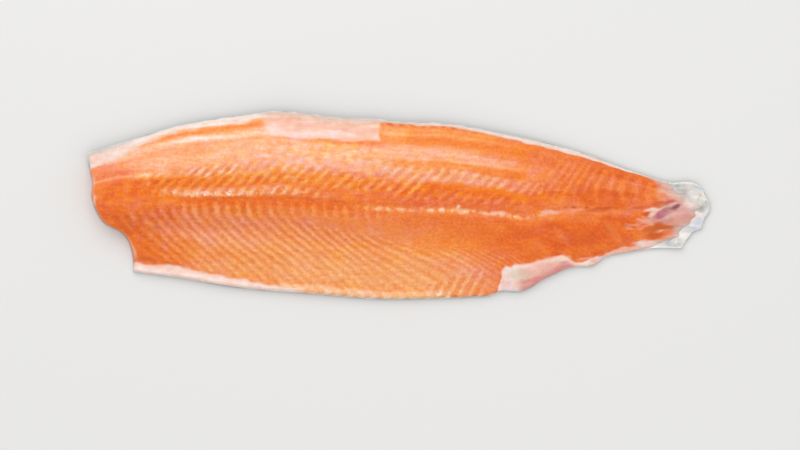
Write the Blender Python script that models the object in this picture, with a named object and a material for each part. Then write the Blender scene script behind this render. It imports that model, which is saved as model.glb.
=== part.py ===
"""Raw side of salmon, skin side down and pin-boned, with its belly flap trimmed off.

Metres, +Z up. +X runs from the head end to the tail and +Y from the belly to the back.
The origin is under the middle of the fillet, on the surface that it lies on.
"""

import bmesh
import bpy
import numpy as np

MM = 0.001

# Driving dimensions
LENGTH = 0.600
WIDTH = 0.182
LOIN_THICKNESS = 0.0315
SKIN_THICKNESS = 0.0014

# Outline as shares of the length, x from the middle to the tail and y from the middle to the back.
# Each edge runs through the corners that it shares with its neighbours.
HEAD_BELLY = (-0.4275, -0.1050)
HEAD_BACK = (-0.5000, 0.0850)
TAIL_BACK = (0.4848, 0.0315)
TAIL_BELLY = (0.4530, -0.0665)
BACK_EDGE = (
    HEAD_BACK,
    (-0.4360, 0.1045),
    (-0.3460, 0.1315),
    (-0.2500, 0.1465),  # front of the dorsal fin's base
    (-0.2120, 0.1518),
    (-0.1760, 0.1522),
    (-0.1360, 0.1475),
    (-0.0880, 0.1425),
    (-0.0320, 0.1400),  # back of the dorsal fin's base
    (-0.0120, 0.1372),
    (0.0640, 0.1340),
    (0.1800, 0.1145),
    (0.2830, 0.0890),
    (0.3860, 0.0525),
    (0.4250, 0.0405),
    (0.4380, 0.0382),  # where the flesh thins out and the skin goes on alone
    (0.4600, 0.0394),
    (0.4740, 0.0374),
    TAIL_BACK,
)
BELLY_EDGE = (
    HEAD_BELLY,
    (-0.3530, -0.1150),
    (-0.2660, -0.1295),
    (-0.1440, -0.1405),
    (-0.0240, -0.1492),
    (0.0500, -0.1482),
    (0.1170, -0.1455),
    (0.1450, -0.1432),  # end of the trimmed belly
    (0.1600, -0.1370),
    (0.1950, -0.1368),  # membrane left at the vent
    (0.2360, -0.1150),
    (0.2840, -0.0968),
    (0.3080, -0.0960),  # base of the anal fin
    (0.3320, -0.0805),
    (0.3650, -0.0740),
    (0.4000, -0.0675),
    TAIL_BELLY,
)
HEAD_END = (
    HEAD_BELLY,
    (-0.4305, -0.0720),
    (-0.4380, -0.0525),  # hollow left by the gill cover
    (-0.4510, -0.0395),
    (-0.4655, -0.0330),
    (-0.4755, -0.0265),
    (-0.4885, -0.0055),
    (-0.4950, 0.0150),
    (-0.4935, 0.0365),
    (-0.4975, 0.0580),
    HEAD_BACK,
)
TAIL_END = (
    TAIL_BELLY,
    (0.4600, -0.0565),
    (0.4665, -0.0490),
    (0.4725, -0.0405),
    (0.4855, -0.0345),
    (0.4900, -0.0235),
    (0.4935, -0.0150),
    (0.4985, -0.0060),
    (0.5000, 0.0040),
    (0.4965, 0.0130),
    (0.4900, 0.0187),
    (0.4875, 0.0255),
    TAIL_BACK,
)
HEAD_FADE = 9.0  # how fast the end cuts give way to straight sections
TAIL_FADE = 7.0

# Thickness, as shares of LOIN_THICKNESS: down the length, and across from the belly (0) to the back (1)
ALONG = (
    (0.00, 0.84),
    (0.10, 0.94),
    (0.26, 1.00),
    (0.45, 0.95),
    (0.60, 0.80),
    (0.75, 0.58),
    (0.86, 0.41),
    (0.93, 0.27),
    (0.97, 0.16),
    (1.00, 0.06),
)
ACROSS = (
    (0.00, 0.27),
    (0.08, 0.33),
    (0.20, 0.45),
    (0.33, 0.62),
    (0.44, 0.84),
    (0.50, 0.93),
    (0.62, 1.00),
    (0.75, 0.98),
    (0.86, 0.84),
    (0.94, 0.60),
    (1.00, 0.36),
)
ACROSS_TAIL = (
    (0.00, 0.25),
    (0.12, 0.55),
    (0.30, 0.88),
    (0.50, 1.00),
    (0.70, 0.92),
    (0.88, 0.60),
    (1.00, 0.25),
)
TAIL_SECTION_FROM, TAIL_SECTION_TO = 0.5, 0.85

# The groove where the backbone lay, and the low one that the ribs leave beside it
SPINE_SHARE = 0.5
SPINE_DEPTH, SPINE_WIDTH = 1.3 * MM, 0.030
RIB_SHARE = 0.34
RIB_DEPTH, RIB_WIDTH = 1.4 * MM, 0.075

# How far in from each edge the flesh reaches its full height
HEAD_SHOULDER, TAIL_SHOULDER = 5.0 * MM, 20.0 * MM
BELLY_SHOULDER, BACK_SHOULDER = 5.0 * MM, 9.0 * MM

# How far the skin lifts off the board, and over what distance
BACK_LIFT, BACK_LIFT_OVER = 5.5 * MM, 26 * MM
BELLY_LIFT, BELLY_LIFT_OVER = 1.6 * MM, 12 * MM
TAIL_LIFT, TAIL_LIFT_OVER = 1.8 * MM, 16 * MM

# Mesh lines: extra ones stand close to the edges, where the shoulders are
COLUMNS, ROWS = 84, 22
EDGE_LINES = (0.0, 0.9 * MM, 2.4 * MM, 4.8 * MM)


def hermite(knots, values, at):
    """The smooth curve through values at knots, read at other places."""
    knots, values, at = np.array(knots, float), np.array(values, float), np.asarray(at, float)
    slope = np.gradient(values, knots, axis=0)
    i = np.clip(np.searchsorted(knots, at, side="right") - 1, 0, len(knots) - 2)
    step = knots[i + 1] - knots[i]
    t = np.clip((at - knots[i]) / step, 0, 1)
    if values.ndim > 1:
        step, t = step[..., None], t[..., None]
    return (
        (1 + 2 * t) * (1 - t) ** 2 * values[i]
        + t * (1 - t) ** 2 * step * slope[i]
        + t**2 * (3 - 2 * t) * values[i + 1]
        + t**2 * (t - 1) * step * slope[i + 1]
    )


def profile(pairs, at):
    """A smooth profile given as (share, value) pairs."""
    shares, values = zip(*pairs)
    return hermite(shares, values, at)


def edge(points, at):
    """Places at these shares along a smooth outline edge, in metres."""
    places = np.array(points) * LENGTH
    steps = np.linalg.norm(np.diff(places, axis=0), axis=1)
    knots = np.concatenate([[0], np.cumsum(steps)])
    return hermite(knots / knots[-1], places, at)


def ease(x):
    """0 below 0, 1 above 1 and smooth between."""
    x = np.clip(x, 0, 1)
    return x * x * (3 - 2 * x)


def shoulder(distance, over):
    """A quarter round that rises from an edge."""
    near = np.clip(1 - distance / over, 0, 1)
    return np.sqrt(1 - near**2)


def lines(count, span):
    """Shares for mesh lines across a span in metres, with the edge lines at both ends."""
    inner = EDGE_LINES[-1] / span
    close = np.array(EDGE_LINES[:-1]) / span
    return np.concatenate([close, np.linspace(inner, 1 - inner, count), 1 - close[::-1]])


def bowed(points, v, fade):
    """How far an end cut stands out from its own straight chord, fading with the distance from it."""
    start, stop = edge(points, np.array([0.0, 1.0]))
    chord = start + v[:, None] * (stop - start)
    return fade[:, None] * (edge(points, v) - chord)


def plan(u, v):
    """Places in plan: u runs from the head end to the tail, v from the belly to the back."""
    belly, back = edge(BELLY_EDGE, u), edge(BACK_EDGE, u)
    straight = belly + v[:, None] * (back - belly)
    return straight + bowed(HEAD_END, v, (1 - u) ** HEAD_FADE) + bowed(TAIL_END, v, u**TAIL_FADE)


def underside(u, v):
    """Height of the skin over the board."""
    back = BACK_LIFT * ease(1 - (1 - v) * WIDTH / BACK_LIFT_OVER) * (1 - 0.6 * ease((u - 0.6) / 0.3))
    belly = BELLY_LIFT * ease(1 - v * WIDTH / BELLY_LIFT_OVER)
    tail = TAIL_LIFT * ease(1 - (1 - u) * LENGTH / TAIL_LIFT_OVER)
    return np.maximum(back, tail) + belly


def thickness(u, v):
    """Flesh and skin together."""
    to_tail = ease((u - TAIL_SECTION_FROM) / (TAIL_SECTION_TO - TAIL_SECTION_FROM))
    section = profile(ACROSS, v) * (1 - to_tail) + profile(ACROSS_TAIL, v) * to_tail
    body = LOIN_THICKNESS * profile(ALONG, u) * section
    body -= SPINE_DEPTH * np.exp(-(((v - SPINE_SHARE) / SPINE_WIDTH) ** 2)) * (1 - to_tail)
    body -= RIB_DEPTH * np.exp(-(((v - RIB_SHARE) / RIB_WIDTH) ** 2)) * (1 - to_tail)
    rise = (
        shoulder(u * LENGTH, HEAD_SHOULDER)
        * shoulder((1 - u) * LENGTH, TAIL_SHOULDER)
        * shoulder(v * WIDTH, BELLY_SHOULDER)
        * shoulder((1 - v) * WIDTH, BACK_SHOULDER)
    )
    return SKIN_THICKNESS + np.maximum(body - SKIN_THICKNESS, 0) * rise


def place(verts, columns, rows, thick):
    """Move a flat unit grid's vertices to the underside, or thick shares of the flesh above it."""
    flat = np.array([vert.co.xy for vert in verts])
    column = np.rint((flat[:, 0] + 1) / 2 * (len(columns) - 1)).astype(int)
    row = np.rint((flat[:, 1] + 1) / 2 * (len(rows) - 1)).astype(int)
    u, v = columns[column], rows[row]
    heights = underside(u, v) + thick * thickness(u, v)
    for vert, (x, y), z in zip(verts, plan(u, v), heights):
        vert.co = (x, y, z)


def centre(bm):
    """Bring the middle of the outline over the origin."""
    places = np.array([vert.co for vert in bm.verts])
    middle = (places.max(axis=0) + places.min(axis=0)) / 2
    bmesh.ops.translate(bm, verts=bm.verts, vec=(-middle[0], -middle[1], 0))


def fillet_mesh():
    """A grid extruded into a slab, laid over the outline and shaped above and below."""
    columns, rows = lines(COLUMNS, LENGTH), lines(ROWS, WIDTH)
    bm = bmesh.new()
    bmesh.ops.create_grid(bm, x_segments=len(columns) - 1, y_segments=len(rows) - 1, size=1)
    bottom = bm.verts[:]
    grown = bmesh.ops.extrude_face_region(bm, geom=bm.faces[:])["geom"]
    top = [item for item in grown if isinstance(item, bmesh.types.BMVert)]
    place(bottom, columns, rows, 0)
    place(top, columns, rows, 1)
    centre(bm)
    bmesh.ops.recalc_face_normals(bm, faces=bm.faces)
    mesh = bpy.data.meshes.new("fillet")
    bm.to_mesh(mesh)
    bm.free()
    return mesh


def flesh_material():
    material = bpy.data.materials.new("raw_salmon")
    material.use_nodes = True
    shader = material.node_tree.nodes["Principled BSDF"]
    shader.inputs["Base Color"].default_value = (0.87, 0.26, 0.075, 1)
    shader.inputs["Roughness"].default_value = 0.38
    shader.inputs["Metallic"].default_value = 0.0
    return material


def main():
    for old in list(bpy.data.objects):
        bpy.data.objects.remove(old)
    collection = bpy.data.collections.new("salmon_fillet")
    bpy.context.scene.collection.children.link(collection)
    mesh = fillet_mesh()
    mesh.materials.append(flesh_material())
    mesh.shade_smooth()
    collection.objects.link(bpy.data.objects.new("fillet", mesh))


main()
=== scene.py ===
import math

import bpy
import numpy as np
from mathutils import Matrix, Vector


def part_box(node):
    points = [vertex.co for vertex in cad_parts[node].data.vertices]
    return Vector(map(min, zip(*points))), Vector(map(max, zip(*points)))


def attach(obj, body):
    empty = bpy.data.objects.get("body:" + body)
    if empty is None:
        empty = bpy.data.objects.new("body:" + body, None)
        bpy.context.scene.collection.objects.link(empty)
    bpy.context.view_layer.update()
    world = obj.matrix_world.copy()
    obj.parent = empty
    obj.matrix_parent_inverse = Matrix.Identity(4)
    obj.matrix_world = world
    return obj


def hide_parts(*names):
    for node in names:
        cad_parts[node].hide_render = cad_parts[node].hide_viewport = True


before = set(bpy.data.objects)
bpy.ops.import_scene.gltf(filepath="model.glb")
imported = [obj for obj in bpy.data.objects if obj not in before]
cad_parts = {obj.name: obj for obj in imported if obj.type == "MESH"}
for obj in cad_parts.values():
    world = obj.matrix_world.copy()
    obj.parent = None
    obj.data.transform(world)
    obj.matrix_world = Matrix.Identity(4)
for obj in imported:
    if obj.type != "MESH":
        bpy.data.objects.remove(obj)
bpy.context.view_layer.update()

mm = 0.001
low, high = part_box("fillet")
print("frame loaded:", [round(edge / mm, 1) for edge in high - low], "mm")

# the side as the CAD builds it, in plan as shares of the length: x to the tail, y to the back
side = {
    "length": 0.600,
    "width": 0.182,
    "loin": 0.0315,  # greatest thickness
    "skin": 0.0014,
    "back": (
        (-0.5000, 0.0850), (-0.4360, 0.1045), (-0.3460, 0.1315), (-0.2500, 0.1465), (-0.2120, 0.1518),
        (-0.1760, 0.1522), (-0.1360, 0.1475), (-0.0880, 0.1425), (-0.0320, 0.1400), (-0.0120, 0.1372),
        (0.0640, 0.1340), (0.1800, 0.1145), (0.2830, 0.0890), (0.3860, 0.0525), (0.4250, 0.0405),
        (0.4380, 0.0382), (0.4600, 0.0394), (0.4740, 0.0374), (0.4848, 0.0315),
    ),
    "belly": (
        (-0.4275, -0.1050), (-0.3530, -0.1150), (-0.2660, -0.1295), (-0.1440, -0.1405), (-0.0240, -0.1492),
        (0.0500, -0.1482), (0.1170, -0.1455), (0.1450, -0.1432), (0.1600, -0.1370), (0.1950, -0.1368),
        (0.2360, -0.1150), (0.2840, -0.0968), (0.3080, -0.0960), (0.3320, -0.0805), (0.3650, -0.0740),
        (0.4000, -0.0675), (0.4530, -0.0665),
    ),
    "head": (
        (-0.4275, -0.1050), (-0.4305, -0.0720), (-0.4380, -0.0525), (-0.4510, -0.0395), (-0.4655, -0.0330),
        (-0.4755, -0.0265), (-0.4885, -0.0055), (-0.4950, 0.0150), (-0.4935, 0.0365), (-0.4975, 0.0580),
        (-0.5000, 0.0850),
    ),
    "tail": (
        (0.4530, -0.0665), (0.4600, -0.0565), (0.4665, -0.0490), (0.4725, -0.0405), (0.4855, -0.0345),
        (0.4900, -0.0235), (0.4935, -0.0150), (0.4985, -0.0060), (0.5000, 0.0040), (0.4965, 0.0130),
        (0.4900, 0.0187), (0.4875, 0.0255), (0.4848, 0.0315),
    ),
    "headFade": 9.0,  # how fast the end cuts give way to straight sections
    "tailFade": 7.0,
    # thickness as shares of the loin: down the length, and across from the belly (0) to the back (1)
    "along": ((0, 0.84), (0.1, 0.94), (0.26, 1), (0.45, 0.95), (0.6, 0.8), (0.75, 0.58), (0.86, 0.41),
              (0.93, 0.27), (0.97, 0.16), (1, 0.06)),
    "across": ((0, 0.27), (0.08, 0.33), (0.2, 0.45), (0.33, 0.62), (0.44, 0.84), (0.5, 0.93), (0.62, 1),
               (0.75, 0.98), (0.86, 0.84), (0.94, 0.6), (1, 0.36)),
    "acrossTail": ((0, 0.25), (0.12, 0.55), (0.3, 0.88), (0.5, 1), (0.7, 0.92), (0.88, 0.6), (1, 0.25)),
    "tailFrom": 0.5,
    "tailTo": 0.85,
    # the groove where the backbone lay, as the share across, down the length
    "midline": ((0, 0.6), (0.05, 0.595), (0.1, 0.567), (0.16, 0.534), (0.23, 0.519), (0.3, 0.511),
                (0.38, 0.511), (0.44, 0.503), (0.5, 0.503), (0.6, 0.5), (0.7, 0.482), (0.76, 0.495), (0.83, 0.525),
                (0.9, 0.536), (1, 0.56)),
    # how far the skin lifts off the board, and over what distance
    "backLift": (0.0055, 0.026),
    "bellyLift": (0.0016, 0.012),
    "tailLift": (0.0018, 0.016),
    "curl": 0.0014,
}


def curve(knots, values, at):
    # the smooth curve through values at knots
    knots, values, at = np.array(knots, float), np.array(values, float), np.asarray(at, float)
    slope = np.gradient(values, knots, axis=0)
    i = np.clip(np.searchsorted(knots, at, side="right") - 1, 0, len(knots) - 2)
    step = knots[i + 1] - knots[i]
    t = np.clip((at - knots[i]) / step, 0, 1)
    if values.ndim > 1:
        step, t = step[..., None], t[..., None]
    return ((1 + 2 * t) * (1 - t) ** 2 * values[i] + t * (1 - t) ** 2 * step * slope[i]
            + t**2 * (3 - 2 * t) * values[i + 1] + t**2 * (t - 1) * step * slope[i + 1])


def profile(pairs, at):
    shares, values = zip(*pairs)
    return curve(shares, values, at)


def straight(pairs, at):
    # the same without overshoot, for widths that start and stop
    shares, values = zip(*pairs)
    return np.interp(at, shares, values)


def edge(name, at):
    places = np.array(side[name]) * side["length"]
    steps = np.linalg.norm(np.diff(places, axis=0), axis=1)
    knots = np.concatenate([[0], np.cumsum(steps)])
    return curve(knots / knots[-1], places, at)


def ease(x):
    x = np.clip(x, 0, 1)
    return x * x * (3 - 2 * x)


def window(x, start, stop, soft):
    # 1 between start and stop, with soft ends
    return ease((x - start) / soft + 0.5) * ease((stop - x) / soft + 0.5)


def bump(x, middle, width):
    return np.exp(-(((x - middle) / width) ** 2))


def ripple(x, y, size, seed, waves=16):
    # a smooth uneven field, about -1 to 1, with lumps of this size
    draw = np.random.default_rng(seed)
    total = 0
    for wave in range(waves):
        turn = draw.uniform(0, 2 * math.pi)
        pitch = 2 * math.pi / size * draw.uniform(0.45, 1.15)
        start = draw.uniform(0, 2 * math.pi)
        total = total + np.cos((x * math.cos(turn) + y * math.sin(turn)) * pitch + start)
    return total / math.sqrt(waves) / 1.3


def rawPlan(u, v):
    # places in plan: u runs from the head end to the tail, v from the belly to the back
    belly, back = edge("belly", u), edge("back", u)
    place = belly + v[..., None] * (back - belly)
    for name, fade in (("head", (1 - u) ** side["headFade"]), ("tail", u ** side["tailFade"])):
        first, last = np.array(side[name])[[0, -1]] * side["length"]
        bow = edge(name, v) - (first + v[..., None] * (last - first))
        place = place + fade[..., None] * bow
    return place


fine = np.linspace(0, 1, 500)
rim = np.concatenate([rawPlan(*np.broadcast_arrays(u, v)) for u, v in
                      ((fine, 0.0), (fine, 1.0), (0.0, fine), (1.0, fine))])
shift = np.array(((low.x + high.x) / 2, (low.y + high.y) / 2)) - (rim.max(axis=0) + rim.min(axis=0)) / 2


def plan(u, v):
    return (rawPlan(u, v) + shift) * 0.9998


def underside(u, v):
    # height of the skin over the board, with its end curling up unevenly
    back = side["backLift"][0] * ease(1 - (1 - v) * side["width"] / side["backLift"][1])
    back = back * (1 - 0.6 * ease((u - 0.6) / 0.3))
    belly = side["bellyLift"][0] * ease(1 - v * side["width"] / side["bellyLift"][1])
    tail = side["tailLift"][0] * ease(1 - (1 - u) * side["length"] / side["tailLift"][1])
    curl = 0.5 + 0.5 * ripple(u * 0.3 * side["length"], v * side["width"], 0.014, 22)
    curl = side["curl"] * np.clip(curl, 0, 1.4) * ease((u - 0.94) / 0.06)
    return np.maximum(back, tail) + belly + curl


def fullHeight(u, v):
    # flesh and skin together, before the edges are rounded down
    toTail = ease((u - side["tailFrom"]) / (side["tailTo"] - side["tailFrom"]))
    section = profile(side["across"], v) * (1 - toTail) + profile(side["acrossTail"], v) * toTail
    return side["loin"] * profile(side["along"], u) * section


class Wire:
    # one socket of a node, which adds and multiplies like a number
    def __init__(self, finish, socket):
        self.finish = finish
        self.socket = socket

    def sum(self, operation, *others):
        return self.finish.sum(operation, self, *others)

    def __add__(self, other):
        return self.sum("ADD", other)

    def __radd__(self, other):
        return self.sum("ADD", other)

    def __sub__(self, other):
        return self.sum("SUBTRACT", other)

    def __rsub__(self, other):
        return self.finish.sum("SUBTRACT", other, self)

    def __mul__(self, other):
        return self.sum("MULTIPLY", other)

    def __rmul__(self, other):
        return self.sum("MULTIPLY", other)

    def __truediv__(self, other):
        return self.sum("DIVIDE", other)

    def __pow__(self, other):
        return self.sum("POWER", other)


class Finish:
    # a material being written, and the only way that nodes get into it
    def __init__(self, name):
        self.material = bpy.data.materials.new(name)
        self.material.use_nodes = True
        self.tree = self.material.node_tree
        self.shader = self.tree.nodes["Principled BSDF"]

    def node(self, kind, settings=None, inputs=None, out=0):
        made = self.tree.nodes.new(kind)
        for name, value in (settings or {}).items():
            setattr(made, name, value)
        for name, value in (inputs or {}).items():
            self.feed(made.inputs[name], value)
        return Wire(self, made.outputs[out])

    def feed(self, socket, value):
        if isinstance(value, Wire):
            self.tree.links.new(value.socket, socket)
        else:
            socket.default_value = value

    def sum(self, operation, *parts):
        return self.node("ShaderNodeMath", {"operation": operation}, dict(enumerate(parts)))

    def dress(self, values):
        for name, value in values.items():
            self.feed(self.shader.inputs[name], value)

    def mix(self, share, first, second, blend="MIX"):
        settings = {"data_type": "RGBA", "blend_type": blend, "clamp_factor": True}
        return self.node("ShaderNodeMix", settings, {0: share, 6: first, 7: second}, out=2)

    def scaled(self, colour, amount):
        return self.node("ShaderNodeVectorMath", {"operation": "SCALE"}, {0: colour, "Scale": amount})

    def together(self, first, second):
        return self.node("ShaderNodeVectorMath", {"operation": "ADD"}, {0: first, 1: second})

    def ramp(self, share, stops):
        made = self.node("ShaderNodeValToRGB", {}, {0: share})
        elements = made.socket.node.color_ramp.elements
        while len(elements) < len(stops):
            elements.new(0.5)
        for element, (place, code) in zip(elements, stops):
            element.position = place
            element.color = shade(code)
        return made

    def read(self, name, out="Vector"):
        return self.node("ShaderNodeAttribute", {"attribute_name": name}, out=out)

    def split(self, vector):
        node = self.node("ShaderNodeSeparateXYZ", {}, {0: vector}).socket.node
        return [Wire(self, socket) for socket in node.outputs]

    def place(self):
        return self.node("ShaderNodeTexCoord", out="Object")

    def stretched(self, vector, scale):
        return self.node("ShaderNodeVectorMath", {"operation": "MULTIPLY"}, {0: vector, 1: scale})

    def noise(self, vector, size, detail=2.0, rough=0.5, twist=0.0):
        inputs = {"Vector": vector, "Scale": 1 / size, "Detail": detail, "Roughness": rough, "Distortion": twist}
        return self.node("ShaderNodeTexNoise", {}, inputs)

    def span(self, value, fromLow, fromHigh, toLow=0.0, toHigh=1.0):
        inputs = {"Value": value, 1: fromLow, 2: fromHigh, 3: toLow, 4: toHigh}
        return self.node("ShaderNodeMapRange", {"interpolation_type": "SMOOTHSTEP"}, inputs)


light = {
    "gloss": 0.022,  # what the wet surface adds to every colour under the studio's lamps
    "gain": 1.0,  # and how strongly they show its paint
}


def shade(code):
    # the paint that comes out as this colour code under the lamps
    parts = [int(code[i:i + 2], 16) / 255 for i in (0, 2, 4)]
    seen = [part / 12.92 if part < 0.04045 else ((part + 0.055) / 1.055) ** 2.4 for part in parts]
    return tuple(max(0.002, (part - light["gloss"]) / light["gain"]) for part in seen) + (1,)


def selectNothing():
    bpy.ops.object.select_all(action="DESELECT")


def only(piece):
    selectNothing()
    piece.select_set(True)
    bpy.context.view_layer.objects.active = piece


def setPoints(mesh, places):
    mesh.vertices.foreach_set("co", np.ascontiguousarray(places, np.float32).ravel())
    mesh.update()


def getPoints(mesh):
    places = np.empty(len(mesh.vertices) * 3, np.float32)
    mesh.vertices.foreach_get("co", places)
    return places.reshape(-1, 3).astype(float)


def keep(mesh, name, *fields):
    # one field or three stored on the mesh's points, for the finish to read
    values = np.stack(fields, axis=-1).astype(np.float32)
    kind, slot = ("FLOAT", "value") if len(fields) == 1 else ("FLOAT_VECTOR", "vector")
    mesh.attributes.new(name, kind, "POINT").data.foreach_set(slot, values.ravel())


def recall(mesh, name):
    values = np.empty(len(mesh.vertices), np.float32)
    mesh.attributes[name].data.foreach_get("value", values)
    return values.astype(float)


def keepPaint(mesh, layers):
    # layers of colour laid over one another, each with its own cover
    colour, cover = np.zeros((len(mesh.vertices), 3)), np.zeros(len(mesh.vertices))
    for field, code in layers:
        field = np.clip(field, 0, 1)
        colour = colour * (1 - field[:, None]) + field[:, None] * np.array(shade(code)[:3])
        cover = cover * (1 - field) + field
    values = np.concatenate([colour, cover[:, None]], axis=1).astype(np.float32)
    mesh.attributes.new("paint", "FLOAT_COLOR", "POINT").data.foreach_set("color", values.ravel())


def blots(spots, x, y):
    # soft-edged marks: colour, share along and across, length, height, turn and strength
    layers = []
    wobbleX, wobbleY = ripple(x, y, 0.007, 41), ripple(x, y, 0.007, 42)
    for code, u, v, long, tall, turn, strength in spots:
        middle = plan(np.array([u]), np.array([v]))[0]
        dx, dy = x - middle[0] + 0.9 * mm * wobbleX, y - middle[1] + 0.9 * mm * wobbleY
        turn = math.radians(turn)
        alongMark = (dx * math.cos(turn) + dy * math.sin(turn)) / (long * mm) * 2
        acrossMark = (dy * math.cos(turn) - dx * math.sin(turn)) / (tall * mm) * 2
        layers.append((strength * ease((1.45 - np.hypot(alongMark, acrossMark)) / 1.0), code))
    return layers


def grid(name, columns, rows):
    # a flat grid whose points remember their shares along and across
    selectNothing()
    bpy.ops.mesh.primitive_grid_add(x_subdivisions=len(columns) - 1, y_subdivisions=len(rows) - 1, size=2)
    piece = bpy.context.object
    piece.name = piece.data.name = name
    flat = getPoints(piece.data)
    column = np.rint((flat[:, 0] + 1) / 2 * (len(columns) - 1)).astype(int)
    row = np.rint((flat[:, 1] + 1) / 2 * (len(rows) - 1)).astype(int)
    keep(piece.data, "along", columns[column])
    keep(piece.data, "across", rows[row])
    return piece


def unroll(mesh, hidden, halves):
    # the map that a bake uses: straight strips, and a narrow one for the faces with hidden points
    along, across = recall(mesh, "along"), recall(mesh, "across")
    corners = np.empty(len(mesh.loops), np.int32)
    mesh.loops.foreach_get("vertex_index", corners)
    counts = np.empty(len(mesh.polygons), np.int32)
    mesh.polygons.foreach_get("loop_total", counts)
    faces = np.repeat(np.arange(len(counts)), counts)
    second = (np.bincount(faces, halves[corners]) / counts > 0.5)[faces]
    out = (np.bincount(faces, hidden[corners]) > 0)[faces]
    u, v = along[corners], across[corners]
    if halves.max() < 1:
        second = (np.bincount(faces, u) / counts > 0.5)[faces]
        u = (u - 0.5 * second) * 2
    mapU = 0.01 + 0.98 * u
    mapV = np.where(out, 0.984 + 0.012 * v, 0.006 + 0.478 * v + 0.487 * second)
    mapU = np.where(out, 0.01 + 0.98 * along[corners], mapU)
    layer = mesh.uv_layers.new(name="OFBake")
    layer.data.foreach_set("uv", np.stack([mapU, mapV], axis=1).astype(np.float32).ravel())


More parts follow.
